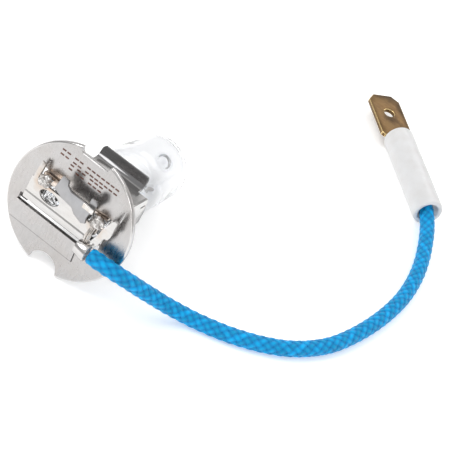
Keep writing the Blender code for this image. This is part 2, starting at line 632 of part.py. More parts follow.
def make_terminal():
    holder = terminal_frame()
    ends = [(SLEEVE_BORE, 0.15), (SLEEVE_BORE + 0.3, 0.0), (SLEEVE_R - 0.2, 0.0), (SLEEVE_R, 0.25),
            (SLEEVE_R, SLEEVE_LENGTH - 0.25), (SLEEVE_R - 0.2, SLEEVE_LENGTH), (SLEEVE_BORE, SLEEVE_LENGTH)]
    turned("terminal_sleeve", ends, 28, WHITE_SLEEVE, holder, closed=True)
    start = SLEEVE_LENGTH + 0.1
    tip = start + BLADE_LENGTH
    half = [(1.3, 9.5), (1.3, 12.0), (1.7, 13.0), (1.7, start), (BLADE_HALF - 0.5, start),
            (BLADE_HALF, start + 0.6), (BLADE_HALF, tip - 1.5), (BLADE_HALF - 1.3, tip)]
    outline = half + [(-x, y) for x, y in reversed(half)]
    blade = prism("spade_terminal", outline, -BLADE_T / 2, BLADE_T / 2, "z", BRASS, holder)
    hole = oval(0.0, tip - HOLE_TO_TIP, BLADE_HOLE_R, BLADE_HOLE_R)
    boolean(blade, prism("blade_hole_cutter", hole, -2.0, 2.0, "z", parent=holder))
    crimp = arc((0, 0), 1.45, 130, 410, 14)
    inner = [(x * 1.05 / 1.45, z * 1.05 / 1.45) for x, z in reversed(crimp)]
    boolean(blade, prism("crimp_shape", crimp + inner, 4.6, 10.0, "y", parent=holder), "UNION")
    tube("terminal_conductor", [(0, 4.3, 0), (0, 7.0, 0), (0, 9.2, 0)], 0.75, COPPER, holder)


make_flange()
make_upper_clamp()
make_lower_clamp()
make_retainer()
make_contact_strip()
make_glass()
make_filament()
make_inner_leads()
make_foils()
make_outer_leads()
make_welds()
make_cable_clamp()
make_cable_end()
make_cord()
make_terminal()
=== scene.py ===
"""A halogen headlight bulb lying on a pale table, with its braided lead and flat spade terminal."""

import math

import bmesh
import bpy
import numpy as np
from mathutils import Matrix, Vector, noise


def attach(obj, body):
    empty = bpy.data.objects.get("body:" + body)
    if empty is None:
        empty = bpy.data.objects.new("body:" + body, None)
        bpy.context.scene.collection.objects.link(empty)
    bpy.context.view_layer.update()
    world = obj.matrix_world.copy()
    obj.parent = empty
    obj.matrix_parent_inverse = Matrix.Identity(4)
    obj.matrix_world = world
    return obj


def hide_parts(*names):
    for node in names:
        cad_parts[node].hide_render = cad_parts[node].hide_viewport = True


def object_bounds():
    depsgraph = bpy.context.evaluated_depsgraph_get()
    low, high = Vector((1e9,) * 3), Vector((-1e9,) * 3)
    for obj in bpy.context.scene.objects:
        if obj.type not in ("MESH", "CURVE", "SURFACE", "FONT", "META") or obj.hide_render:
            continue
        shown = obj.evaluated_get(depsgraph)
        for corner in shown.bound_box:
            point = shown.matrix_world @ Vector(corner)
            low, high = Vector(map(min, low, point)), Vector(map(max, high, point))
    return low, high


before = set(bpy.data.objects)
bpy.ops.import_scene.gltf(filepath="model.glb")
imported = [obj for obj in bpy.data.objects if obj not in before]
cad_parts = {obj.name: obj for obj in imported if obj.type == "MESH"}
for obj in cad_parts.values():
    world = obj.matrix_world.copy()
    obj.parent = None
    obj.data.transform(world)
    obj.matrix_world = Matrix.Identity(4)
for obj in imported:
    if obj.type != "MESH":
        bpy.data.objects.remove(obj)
cad_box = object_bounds()
scene = bpy.context.scene

MM = 0.001
BULB_Y = -12.55              # where the flange's rear face crosses the y axis, mm
AXIS_HEIGHT = 10.642
TILT = math.radians(11.1267)
# From the bulb's own frame (x across, y to the glass tip, z to the key notch) to the table.
LOCAL = Matrix.Translation(Vector((0.0, BULB_Y, AXIS_HEIGHT)) * MM) @ Matrix.Rotation(-TILT, 4, "X")
FLAT = LOCAL.inverted()

TERMINAL_AT = Vector((36.3, 51.05, 2.76)) * MM
TERMINAL_DIR = Vector((-0.729, 0.684, 0.0)).normalized()
TERMINAL = Matrix.Translation(TERMINAL_AT) @ Matrix(
    (TERMINAL_DIR.cross(Vector((0, 0, 1))), TERMINAL_DIR, Vector((0, 0, 1)))
).transposed().to_4x4()


# ------------------------------------------------------------------ camera
CAMERA_RIGHT = Vector((0.77865683, 0.52241551, 0.3475278))
CAMERA_UP = Vector((-0.59140339, 0.42603657, 0.68464215))
CAMERA_AHEAD = Vector((-0.20960813, 0.7386304, -0.64069459))
CAMERA_AT = (0.07209, -0.18765, 0.179242)
FOCAL_LENGTH, SENSOR_WIDTH, CLIP_START = 136, 36, 0.01
lens = bpy.data.cameras.new("camera")
lens.lens = FOCAL_LENGTH
lens.sensor_width = SENSOR_WIDTH
lens.clip_start = CLIP_START
camera = bpy.data.objects.new("camera", lens)
camera.matrix_world = Matrix.Translation(CAMERA_AT) @ Matrix(
    (CAMERA_RIGHT, CAMERA_UP, -CAMERA_AHEAD)
).transposed().to_4x4()
scene.collection.objects.link(camera)
scene.camera = camera


# ------------------------------------------------------------------ nodes and materials
def graph(name):
    """A new material and a helper that adds a node with its inputs and settings."""
    made = bpy.data.materials.new(name)
    made.use_nodes = True
    tree = made.node_tree
    shader = tree.nodes["Principled BSDF"]

    def add(kind, settings=None, **inputs):
        node = tree.nodes.new("ShaderNode" + kind)
        for key, value in (settings or {}).items():
            setattr(node, key, value)
        for key, value in inputs.items():
            socket = node.inputs[int(key[1:])] if key[0] == "i" and key[1:].isdigit() else node.inputs[key]
            if isinstance(value, bpy.types.NodeSocket):
                tree.links.new(value, socket)
            else:
                socket.default_value = value
        return node

    def link(a, b):
        tree.links.new(a, shader.inputs[b] if isinstance(b, str) else b)

    return made, shader, add, link


def ramp(add, source, stops):
    """A colour ramp through (position, colour) stops."""
    node = add("ValToRGB", Fac=source)
    elements = node.color_ramp.elements
    while len(elements) < len(stops):
        elements.new(0.5)
    for element, (place, colour) in zip(elements, stops):
        element.position = place
        element.color = (*colour, 1.0)
    return node.outputs["Color"]


def mixed(add, factor, a, b):
    """One colour mixed into another."""
    node = add("Mix", {"data_type": "RGBA"}, i0=factor)
    for socket, value in ((node.inputs[6], a), (node.inputs[7], b)):
        if isinstance(value, bpy.types.NodeSocket):
            node.id_data.links.new(value, socket)
        else:
            socket.default_value = (*value, 1.0)
    return node.outputs[2]


def math_node(add, operation, a, b, c=0.0):
    """The result of one arithmetic node."""
    return add("Math", {"operation": operation}, i0=a, i1=b, i2=c).outputs[0]


def near(add, where, spot, reach, ragged):
    """1 at a spot given in metres, falling to 0 at its reach, with a ragged outline."""
    gap = add("VectorMath", {"operation": "DISTANCE"}, i0=where, i1=tuple(spot)).outputs["Value"]
    wobble = add("TexNoise", Vector=where, Scale=ragged, Detail=3.0).outputs["Fac"]
    pushed = math_node(add, "MULTIPLY_ADD", wobble, reach * 0.9, gap)
    node = add("MapRange", Value=pushed, i1=reach * 1.45, i2=reach * 0.6, i3=0.0, i4=1.0)
    return node.outputs[0]


def local(x, y, z):
    """A point of the bulb's frame, in mm, as a point on the table in metres."""
    return LOCAL @ (Vector((x, y, z)) * MM)


# Places on the sheet metal, in metres, in the table's frame turned level with the bulb.
LEVEL = Matrix.Rotation(TILT, 4, "X")
# LIP_START and LIP_FADE place the painted shade on the clamps' flared lips.
LIP_START = (LEVEL @ local(0, 11.5, 3.6)).y
LIP_FADE = 0.0007
# The crease and cut-edge places below are for painted shade: a dark line on the flap's crease and a painted
# shadow under the fold.
CREASE_Z, FREE_EDGE_Z = ((LEVEL @ local(0, 0, z)).z for z in (-6.65, -3.0))
CREASE_HALF = 0.00006
FREE_EDGE_Y = (LEVEL @ local(0, -0.62, 0)).y
FREE_EDGE_RISE, FREE_EDGE_HALF = 0.0004, 0.00048
FLAP_MIDDLE, FLAP_HALF = -0.0022, 0.0061
WELDS = (local(-4.9, -1.2, 2.9), local(5.2, -1.4, 2.7))
STRAW_REACH, BURNT_REACH = 0.0027, 0.0014


def sheet_metal(name, colour, rough, grain, brushed=(1.0, 1.0, 1.0), heat=0.0, rub=0.5, painted_lip_shade=False,
                painted_flap_shade=False):
    """Rolled sheet steel: grain, brush marks, cloudy roughness and heat tint round the welds.

    One switch paints shade along the lower flap's crease and a shadow along its cut edge; the other paints
    shade on the lips.
    """
    made, shader, add, link = graph(name)
    where = add("TexCoord").outputs["Object"]
    turned = add("Mapping", Vector=where, Rotation=(TILT, 0.0, 0.0), Scale=brushed).outputs[0]
    marks = add("TexNoise", Vector=turned, Scale=2600.0, Detail=5.0, Roughness=0.65).outputs["Fac"]
    cloud = add("TexNoise", Vector=where, Scale=260.0, Detail=4.0).outputs["Fac"]
    speck = add("TexNoise", Vector=where, Scale=5200.0, Detail=2.0).outputs["Fac"]
    dark = tuple(c * 0.91 for c in colour)
    light = tuple(min(1.0, c * 1.06) for c in colour)
    tone = ramp(add, marks, [(0.30, dark), (0.52, colour), (0.74, light)])
    warm = tuple(c * k for c, k in zip(colour, (0.98, 0.92, 0.86)))
    tone = mixed(add, ramp(add, cloud, [(0.42, (0, 0, 0)), (0.66, (rub, rub, rub))]), tone, warm)
    if heat:
        for spot in WELDS:
            outer = near(add, where, spot, STRAW_REACH, 900.0)
            tone = mixed(add, math_node(add, "MULTIPLY", outer, heat), tone, (0.50, 0.30, 0.14))
            core = near(add, where, spot, BURNT_REACH, 1500.0)
            tone = mixed(add, math_node(add, "MULTIPLY", core, heat * 0.8), tone, (0.07, 0.05, 0.05))
    if painted_flap_shade or painted_lip_shade:
        level = add("Mapping", Vector=where, Rotation=(TILT, 0.0, 0.0)).outputs[0]
        across, along, up = add("SeparateXYZ", i0=level).outputs
    if painted_flap_shade:
        # Painted shade: a dark line on the lower flap's crease, and a painted shadow along its cut edge where
        # it tucks under the fold.
        middle = math_node(add, "COMPARE", across, FLAP_MIDDLE, FLAP_HALF)
        crease_shade = math_node(add, "COMPARE", up, CREASE_Z, CREASE_HALF)
        edge = math_node(add, "COMPARE", up, FREE_EDGE_Z + FREE_EDGE_RISE, FREE_EDGE_HALF)
        edge = math_node(add, "MULTIPLY", edge, math_node(add, "GREATER_THAN", along, FREE_EDGE_Y))
        for line, strength in ((crease_shade, 0.45), (edge, 0.85)):
            amount = math_node(add, "MULTIPLY", math_node(add, "MULTIPLY", line, middle), strength)
            tone = mixed(add, amount, tone, (0.05, 0.045, 0.045))
    if painted_lip_shade:
        # Painted shade: the clamps' flared lips turn dark after a short fade.
        lip_shade = add("MapRange", Value=along, i1=LIP_START, i2=LIP_START + LIP_FADE, i3=0.0, i4=0.85)
        tone = mixed(add, lip_shade.outputs[0], tone, (0.13, 0.13, 0.135))
    link(tone, "Base Color")
    shader.inputs["Metallic"].default_value = 1.0
    dull = math_node(add, "MULTIPLY_ADD", cloud, 0.16, rough - 0.08)
    dull = math_node(add, "MULTIPLY_ADD", marks, 0.14, dull)
    link(math_node(add, "SUBTRACT", dull, 0.07), "Roughness")
    bumps = math_node(add, "MULTIPLY_ADD", speck, 0.35, marks)
    link(add("Bump", Strength=grain, Distance=0.00002, Height=bumps).outputs[0], "Normal")
    return made


def wire_metal(name, colour, rough, streak=6000.0):
    """Drawn wire or foil: fine streaks and small stains."""
    made, shader, add, link = graph(name)
    where = add("TexCoord").outputs["Object"]
    grain = add("TexNoise", Vector=where, Scale=streak, Detail=4.0).outputs["Fac"]
    stain = add("TexNoise", Vector=where, Scale=900.0, Detail=3.0).outputs["Fac"]
    tone = ramp(add, grain, [(0.3, tuple(c * 0.7 for c in colour)), (0.7, colour)])
    tone = mixed(add, ramp(add, stain, [(0.5, (0, 0, 0)), (0.75, (0.6, 0.6, 0.6))]), tone,
                 tuple(c * k for c, k in zip(colour, (0.72, 0.62, 0.52))))
    link(tone, "Base Color")
    shader.inputs["Metallic"].default_value = 1.0
    dull = add("MapRange", Value=stain, i1=0.3, i2=0.7, i3=rough - 0.08, i4=rough + 0.1)
    link(dull.outputs[0], "Roughness")
    link(add("Bump", Strength=0.3, Distance=0.00002, Height=grain).outputs[0], "Normal")
    return made


def weld_metal():
    """Fused metal: bright crests, dull pits, brown and black burns."""
    made, shader, add, link = graph("weld_bead_metal")
    where = add("TexCoord").outputs["Object"]
    pits = add("TexNoise", Vector=where, Scale=2400.0, Detail=5.0, Roughness=0.6).outputs["Fac"]
    burn = add("TexNoise", Vector=where, Scale=1100.0, Detail=3.0).outputs["Fac"]
    tone = ramp(add, pits, [(0.34, (0.20, 0.18, 0.17)), (0.50, (0.60, 0.58, 0.56)),
                            (0.66, (0.86, 0.85, 0.84))])
    tone = mixed(add, ramp(add, burn, [(0.52, (0, 0, 0)), (0.70, (0.8, 0.8, 0.8))]), tone, (0.13, 0.08, 0.05))
    link(tone, "Base Color")
    shader.inputs["Metallic"].default_value = 1.0
    link(add("MapRange", Value=pits, i1=0.3, i2=0.7, i3=0.42, i4=0.16).outputs[0], "Roughness")
    link(add("Bump", Strength=0.6, Distance=0.00006, Height=pits).outputs[0], "Normal")
    return made


BLADE_TURN = 0.754           # turns the blade's length onto y, radians


def brass_metal():
    """Stamped brass gone brown, with rubbed golden patches."""
    made, shader, add, link = graph("brass_aged")
    where = add("TexCoord").outputs["Object"]
    cloud = add("TexNoise", Vector=where, Scale=420.0, Detail=5.0).outputs["Fac"]
    along = add("Mapping", Vector=where, Rotation=(0.0, 0.0, BLADE_TURN), Scale=(0.12, 1.0, 1.0)).outputs[0]
    streak = add("TexNoise", Vector=along, Scale=5200.0, Detail=4.0).outputs["Fac"]
    tone = ramp(add, cloud, [(0.30, (0.095, 0.055, 0.024)), (0.52, (0.150, 0.088, 0.040)),
                             (0.75, (0.23, 0.145, 0.062))])
    rubbed = ramp(add, streak, [(0.35, (0, 0, 0)), (0.8, (0.28, 0.28, 0.28))])
    tone = mixed(add, rubbed, tone, (0.30, 0.20, 0.085))
    link(tone, "Base Color")
    shader.inputs["Metallic"].default_value = 1.0
    link(add("MapRange", Value=cloud, i1=0.3, i2=0.7, i3=0.30, i4=0.46).outputs[0], "Roughness")
    link(add("Bump", Strength=0.25, Distance=0.00003, Height=streak).outputs[0], "Normal")
    return made


def braid_cloth():
    """Glossy glass-fibre yarn dyed blue, with painted glints; the mesh says where each yarn rises and how its
    fibres run.
    """
    made, shader, add, link = graph("braid_blue")
    facts = add("Attribute", {"attribute_name": "yarn"}).outputs["Color"]
    across, tone, rise = add("SeparateColor", Color=facts).outputs[:3]
    where = add("TexCoord").outputs["Object"]
    # Painted shade and light: the blue darkens into the valleys between yarns and lightens on their crests.
    colour = ramp(add, rise, [(0.0, (0.0, 0.07, 0.27)), (0.40, (0.0, 0.22, 0.56)), (0.78, (0.0, 0.32, 0.70)),
                              (1.0, (0.0, 0.42, 0.80))])
    shade = add("MapRange", Value=tone, i1=0.0, i2=1.0, i3=0.80, i4=1.18).outputs[0]
    scaled = add("VectorMath", {"operation": "SCALE"}, i0=colour)
    link(shade, scaled.inputs["Scale"])
    hair = add("TexNoise", Vector=where, Scale=7000.0, Detail=2.0).outputs["Fac"]
    # Painted glints: pale cyan specks stand in for highlights on the glossy fibres.
    painted_glint = ramp(add, hair, [(0.68, (0, 0, 0)), (0.84, (0.45, 0.45, 0.45))])
    link(mixed(add, painted_glint, scaled.outputs[0], (0.30, 0.72, 0.95)), "Base Color")
    fibre = math_node(add, "SINE", math_node(add, "MULTIPLY", across, 44.0), 0.0)
    height = math_node(add, "MULTIPLY_ADD", hair, 1.5, fibre)
    link(add("Bump", Strength=0.5, Distance=0.00003, Height=height).outputs[0], "Normal")
    shader.inputs["Roughness"].default_value = 0.38
    shader.inputs["Specular IOR Level"].default_value = 0.22
    return made


def sleeve_rubber():
    """Milky silicone tube."""
    made, shader, add, link = graph("sleeve_silicone")
    where = add("TexCoord").outputs["Object"]
    cloud = add("TexNoise", Vector=where, Scale=500.0, Detail=4.0).outputs["Fac"]
    link(ramp(add, cloud, [(0.35, (0.83, 0.825, 0.82)), (0.65, (0.88, 0.885, 0.89))]), "Base Color")
    link(add("MapRange", Value=cloud, i1=0.3, i2=0.7, i3=0.30, i4=0.42).outputs[0], "Roughness")
    fine = add("TexNoise", Vector=where, Scale=2600.0, Detail=3.0).outputs["Fac"]
    link(add("Bump", Strength=0.15, Distance=0.00004, Height=fine).outputs[0], "Normal")
    shader.inputs["Transmission Weight"].default_value = 0.25
    shader.inputs["IOR"].default_value = 1.41
    shader.inputs["Subsurface Weight"].default_value = 0.35
    shader.inputs["Subsurface Radius"].default_value = (0.002, 0.002, 0.002)
    shader.inputs["Subsurface Scale"].default_value = 1.0
    return made


def quartz_glass(name, tint, bend, clear):
    """Fused quartz with a slightly wavy surface: its tint, refractive index and opacity."""
    made, shader, add, link = graph(name)
    where = add("TexCoord").outputs["Object"]
    wave = add("TexNoise", Vector=where, Scale=170.0, Detail=2.0).outputs["Fac"]
    link(add("Bump", Strength=0.45, Distance=0.0002, Height=wave).outputs[0], "Normal")
    shader.inputs["Base Color"].default_value = (*tint, 1.0)
    shader.inputs["Roughness"].default_value = 0.0
    shader.inputs["IOR"].default_value = bend
    shader.inputs["Alpha"].default_value = clear
    shader.inputs["Transmission Weight"].default_value = 1.0
    return made


def plain_rubber():
    """Matt silicone of the lead's inner insulation."""
    made, shader, add, link = graph("core_silicone")
    where = add("TexCoord").outputs["Object"]
    cloud = add("TexNoise", Vector=where, Scale=1500.0, Detail=4.0).outputs["Fac"]
    link(ramp(add, cloud, [(0.3, (0.62, 0.62, 0.60)), (0.7, (0.78, 0.78, 0.76))]), "Base Color")
    shader.inputs["Roughness"].default_value = 0.6
    return made


def etched_ink():
    """Brown oxide left by laser etching."""
    made, shader, add, link = graph("etch_brown")
    where = add("TexCoord").outputs["Object"]
    worn = add("TexNoise", Vector=where, Scale=4200.0, Detail=3.0).outputs["Fac"]
    link(ramp(add, worn, [(0.35, (0.070, 0.030, 0.022)), (0.68, (0.20, 0.10, 0.075))]), "Base Color")
    shader.inputs["Metallic"].default_value = 0.35
    shader.inputs["Roughness"].default_value = 0.5
    return made


FLANGE = sheet_metal("flange_satin", (0.50, 0.487, 0.482), 0.27, 0.30, (1.0, 1.0, 0.22), heat=0.30, rub=0.25,
                     painted_flap_shade=True)
# Painted highlight: a lighter copy of the flange steel, laid on the disc's rounded rim and edges.
FLANGE_EDGE_HIGHLIGHT = sheet_metal("flange_rim_highlight", (0.62, 0.61, 0.605), 0.20, 0.12, (0.3, 1.0, 1.0), rub=0.3)
CLAMP = sheet_metal("clamp_bright", (0.62, 0.61, 0.60), 0.15, 0.14, (0.16, 1.0, 1.0), heat=0.60, rub=0.25,
                    painted_lip_shade=True)
# Painted shade: a near-black copy of the steel, laid on the rounded edges of the clamps, the retainer and the
# cable clamp.
CLAMP_EDGE_SHADE = sheet_metal("clamp_rim_shade", (0.20, 0.195, 0.19), 0.16, 0.10, rub=0.2)
RETAINER = sheet_metal("retainer_grey", (0.40, 0.40, 0.41), 0.36, 0.25, (1.0, 1.0, 0.3), rub=0.2)
NICKEL = wire_metal("nickel_bright", (0.84, 0.82, 0.79), 0.20)
COPPER = wire_metal("tinned_strand", (0.74, 0.70, 0.66), 0.26)
TUNGSTEN = wire_metal("tungsten_grey", (0.34, 0.33, 0.34), 0.35)
MOLYBDENUM = wire_metal("molybdenum_grey", (0.50, 0.49, 0.49), 0.35)
WELD = weld_metal()
BRASS = brass_metal()
BRASS_EDGE = wire_metal("brass_edge", (0.80, 0.60, 0.30), 0.24)
BRAID = braid_cloth()
SLEEVE = sleeve_rubber()
QUARTZ = quartz_glass("quartz_clear", (0.905, 0.91, 0.92), 1.42, 0.95)
QUARTZ_TIP = quartz_glass("quartz_tip", (0.74, 0.75, 0.78), 1.46, 1.0)
CORE = plain_rubber()
ETCH = etched_ink()


# ------------------------------------------------------------------ pieces
def keep(piece, slot, *nodes):
    """Link a finished piece: it rides on the one body, and stands for these CAD nodes."""
    if not piece.users_collection:
        scene.collection.objects.link(piece)
    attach(piece, "root")
    if nodes:
        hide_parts(*nodes)
    return piece


def from_bmesh(name, work, paints, sharp=40.0):
    """An object from a bmesh, smooth-shaded up to the given angle."""
    mesh = bpy.data.meshes.new(name)
    work.to_mesh(mesh)
    work.free()
    for paint in paints:
        mesh.materials.append(paint)
    mesh.shade_smooth()
    mesh.set_sharp_from_angle(angle=math.radians(sharp))
    return bpy.data.objects.new(name, mesh)


SAME_POINT = 2e-6            # corners closer than this are one, metres
FLAT_JOIN, SHARP_EDGE = math.radians(1.0), math.radians(32)
RIM_R = 10.9                 # the disc's rim lies beyond this, mm


def finer(node, name, slot, paints, width, wide=None, wide_width=0.0):
    """The CAD node with its sheet edges rounded; the rounding takes the second paint."""
    work = bmesh.new()
    work.from_mesh(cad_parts[node].data)
    bmesh.ops.remove_doubles(work, verts=work.verts, dist=SAME_POINT)
    bmesh.ops.dissolve_limit(work, angle_limit=FLAT_JOIN, verts=work.verts, edges=work.edges)
    bmesh.ops.recalc_face_normals(work, faces=work.faces)
    for face in work.faces:
        face.material_index = 0

    def corners():
        return [e for e in work.edges if len(e.link_faces) == 2 and e.calc_face_angle(0.0) > SHARP_EDGE]

    if wide:
        chosen = [e for e in corners() if all(wide(FLAT @ v.co / MM) for v in e.verts)]
        bmesh.ops.bevel(work, geom=chosen, offset=wide_width * MM, segments=4, profile=0.5,
                        affect="EDGES", clamp_overlap=True, material=1)
    bmesh.ops.bevel(work, geom=corners(), offset=width * MM, segments=2, profile=0.5,
                    affect="EDGES", clamp_overlap=True, material=1)
    bmesh.ops.triangulate(work, faces=work.faces)
    piece = from_bmesh(name, work, paints, 50.0)
    return keep(piece, slot, node)


def on_rim(p):
    """True on the disc's outer rim at its rear face."""
    return abs(p.y) < 0.02 and math.hypot(p.x, p.z) > RIM_R


# Each piece's second paint goes on its rounded edges: a painted highlight on the flange, painted shade on the
# clamps and the retainer.
finer("flange_disc", "flange_disc_finished", "flange_steel", (FLANGE, FLANGE_EDGE_HIGHLIGHT), 0.05, on_rim, 0.30)
finer("upper_clamp", "upper_clamp_finished", "clamp_steel", (CLAMP, CLAMP_EDGE_SHADE), 0.07)
finer("lower_clamp", "lower_clamp_finished", "clamp_steel", (CLAMP, CLAMP_EDGE_SHADE), 0.07)
finer("retainer_plate", "retainer_plate_finished", "retainer_steel", (RETAINER, CLAMP_EDGE_SHADE), 0.05)
finer("contact_strip", "contact_strip_finished", "nickel", (NICKEL, NICKEL), 0.06)
finer("cable_clamp", "cable_clamp_finished", "clamp_steel", (CLAMP, CLAMP_EDGE_SHADE), 0.06)
finer("spade_terminal", "spade_terminal_finished", "brass", (BRASS, BRASS_EDGE), 0.13)

for node, paint in (("core_insulation", CORE), ("filament_coil", TUNGSTEN), ("terminal_conductor", COPPER),
                    ("inner_lead_ground", MOLYBDENUM), ("inner_lead_live", MOLYBDENUM),
                    ("foil_ground", MOLYBDENUM), ("foil_live", MOLYBDENUM),
                    ("outer_lead_ground", NICKEL), ("outer_lead_live", NICKEL)):
    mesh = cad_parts[node].data
    mesh.materials.clear()
    mesh.materials.append(paint)


# ------------------------------------------------------------------ etched marks
DASH_LONG, DASH_TALL = 0.68, 0.26
DASH_Y, DASH_DEEP = -0.004, 0.012
DASH_ROWS = ((7.35, 1.05, (-5.4, -4.5, -3.0, -2.1, -0.7, 0.2, 1.1, 2.0, 2.9, 3.8, 4.7)),
             (6.10, 0.95, (-3.2, -1.9, -1.0, 0.5, 1.4, 2.3)))   # lowest z, height of a pair, starts in x


def etched_bars():
    """Two rows of paired dashes etched on the flange's rear face: no lettering."""
    work = bmesh.new()
    for low, tall, starts in DASH_ROWS:
        for x in starts:
            for z0, z1 in ((low, low + DASH_TALL), (low + tall - DASH_TALL, low + tall)):
                box = bmesh.ops.create_cube(work, size=1.0)["verts"]
                centre = Vector((x + DASH_LONG / 2, DASH_Y, (z0 + z1) / 2))
                size = Vector((DASH_LONG, DASH_DEEP, z1 - z0))
                for v in box:
                    v.co = LOCAL @ (Vector([c + s * q for c, s, q in zip(centre, size, v.co)]) * MM)
    keep(from_bmesh("etched_bars", work, [ETCH]), "flange_steel")


etched_bars()


# ------------------------------------------------------------------ weld beads and strands
def weld_bead(name, node, centre, radii, seed):
    """A lumpy, ridged bead."""
    work = bmesh.new()
    bmesh.ops.create_icosphere(work, subdivisions=5, radius=1.0)
    for v in work.verts:
        n = v.co.normalized()
        big = noise.noise(n * 1.5 + Vector((seed, 0, 0)))
        small = noise.noise(n * 4.5 + Vector((0, seed, 0)))
        ridge = 1.0 - abs(noise.noise(n * 2.6 + Vector((0, 0, seed))))
        size = 0.86 + 0.26 * big + 0.10 * small + 0.16 * ridge
        v.co = LOCAL @ (Vector([c + r * size * q for c, r, q in zip(centre, radii, n)]) * MM)
    keep(from_bmesh(name, work, [WELD], 80.0), "weld_metal", node)


weld_bead("weld_ground_bead", "weld_ground", (-5.0, -1.6, 2.95), (1.16, 0.72, 0.98), 3.1)
weld_bead("weld_live_bead", "weld_live", (5.3, -1.7, 2.75), (1.16, 0.86, 1.08), 8.7)


def spline_points(route, step):
    """Points about a step apart on a Catmull-Rom curve through the route."""
    pts = [Vector(p) for p in route]
    pts = [2 * pts[0] - pts[1]] + pts + [2 * pts[-1] - pts[-2]]
    out = []
    for a, b, c, d in zip(pts, pts[1:], pts[2:], pts[3:]):
        count = max(1, round((c - b).length / step))
        for k in range(count):
            t = k / count
            out.append(0.5 * (2 * b + (c - a) * t + (2 * a - 5 * b + 4 * c - d) * t ** 2
                              + (3 * b - a - 3 * c + d) * t ** 3))
    return out + [pts[-2]]


def frames(points):
    """Two unit vectors across the path at each point, turning as little as possible."""
    tangents = [(points[min(i + 1, len(points) - 1)] - points[max(i - 1, 0)]).normalized()
                for i in range(len(points))]
    side = tangents[0].orthogonal().normalized()
    out = []
    for tangent in tangents:
        side = (side - tangent * side.dot(tangent)).normalized()
        out.append((side, tangent.cross(side)))
    return out


def tube_mesh(work, points, radius, sides):
    """Add a closed round tube along the points."""
    rings = []
    for point, (a, b) in zip(points, frames(points)):
        rings.append([work.verts.new(point + radius * (a * math.cos(t) + b * math.sin(t)))
                      for t in (2 * math.pi * k / sides for k in range(sides))])
    for one, two in zip(rings, rings[1:]):
        for k in range(sides):
            work.faces.new((one[k], one[(k + 1) % sides], two[(k + 1) % sides], two[k]))
    work.faces.new(rings[0][::-1])
    work.faces.new(rings[-1])


STRAND_R, STRAND_SIDES = 0.105, 8


def bare_strands():
    """The lead's bare strands, splayed as they rise from the barrel to the live weld."""
    work = bmesh.new()
    spread = ((0.0, 0.0), (0.20, 0.05), (-0.19, 0.08), (0.08, -0.20), (-0.10, -0.19), (0.30, -0.12),
              (-0.26, -0.10))
    for k, (dx, dy) in enumerate(spread):
        fan = 1.0 + 0.5 * math.sin(2.1 * k)
        route = [(6.1, -2.5 + dy * 0.6, -1.9 + dx * 0.6), (5.75, -2.5 + dy * 0.8, -1.9 + dx * 0.7),
                 (5.35 + 0.6 * dx, -2.5 + dy, -1.6 + 0.3 * dx), (5.25 + dx, -2.5 + dy, -0.7),
                 (5.2 + 1.5 * fan * dx, -2.6 + fan * dy, 0.4), (5.2 + 1.2 * dx, -2.4 + dy, 1.5),
                 (5.2 + dx, -1.9 + dy, 2.3)]
        points = [LOCAL @ (p * MM) for p in spline_points(route, 0.22)]
        tube_mesh(work, points, STRAND_R * MM, STRAND_SIDES)
    bmesh.ops.recalc_face_normals(work, faces=work.faces)
    keep(from_bmesh("bare_strands", work, [COPPER], 60.0), "tinned_copper", "conductor_strand")


bare_strands()


# ------------------------------------------------------------------ braided lead
CORD_ROUTE = [
    (6.85, -15.35, 9.2), (8.3, -15.25, 9.15), (10, -14.85, 8.9), (11.6, -14.05, 8.3), (13.2, -12.75, 7.3),
    (14.9, -10.95, 5.8), (16.5, -9.25, 4.45), (18.2, -7.65, 3.2), (20, -6.15, 2.2), (21.9, -4.95, 1.55),
    (23.8, -4.05, 1.3), (27.2, -2.65, 1.27), (30.3, -1, 1.27), (33.2, 0.95, 1.27), (35.9, 3.3, 1.27),
    (38.3, 6.35, 1.27), (40.3, 10.05, 1.27), (41.7, 14.55, 1.27), (42.65, 19.45, 1.27), (43.2, 24.75, 1.27),
    (43.2, 30.35, 1.27), (42.4, 36.15, 1.27), (40.9, 41.65, 1.35), (38.8, 46.75, 1.7), (37, 49.85, 2.2),
    (35.3, 51.95, 2.6), (33.4, 53.75, 2.76),
]
CORD_RADIUS = 1.12           # to the braid's valleys, mm
YARN_RISE = 0.22
CARRIERS = 6                 # yarns in each direction
YARN_LEAD = 1.62             # spacing of the yarns along the lead, mm
BRAID_STEP, BRAID_SIDES = 0.13, 48
END_FADE = 0.4               # the relief dies away over this length at each end, mm


def even_points(route, step):
    """Points exactly a step apart along the curve, and the curve's length."""
    dense = np.array(spline_points(route, 0.1))
    gaps = np.linalg.norm(np.diff(dense, axis=0), axis=1)
    run = np.concatenate(([0.0], np.cumsum(gaps)))
    count = int(run[-1] / step)
    wanted = np.linspace(0.0, run[-1], count + 1)
    return np.stack([np.interp(wanted, run, dense[:, i]) for i in range(3)], axis=1), wanted


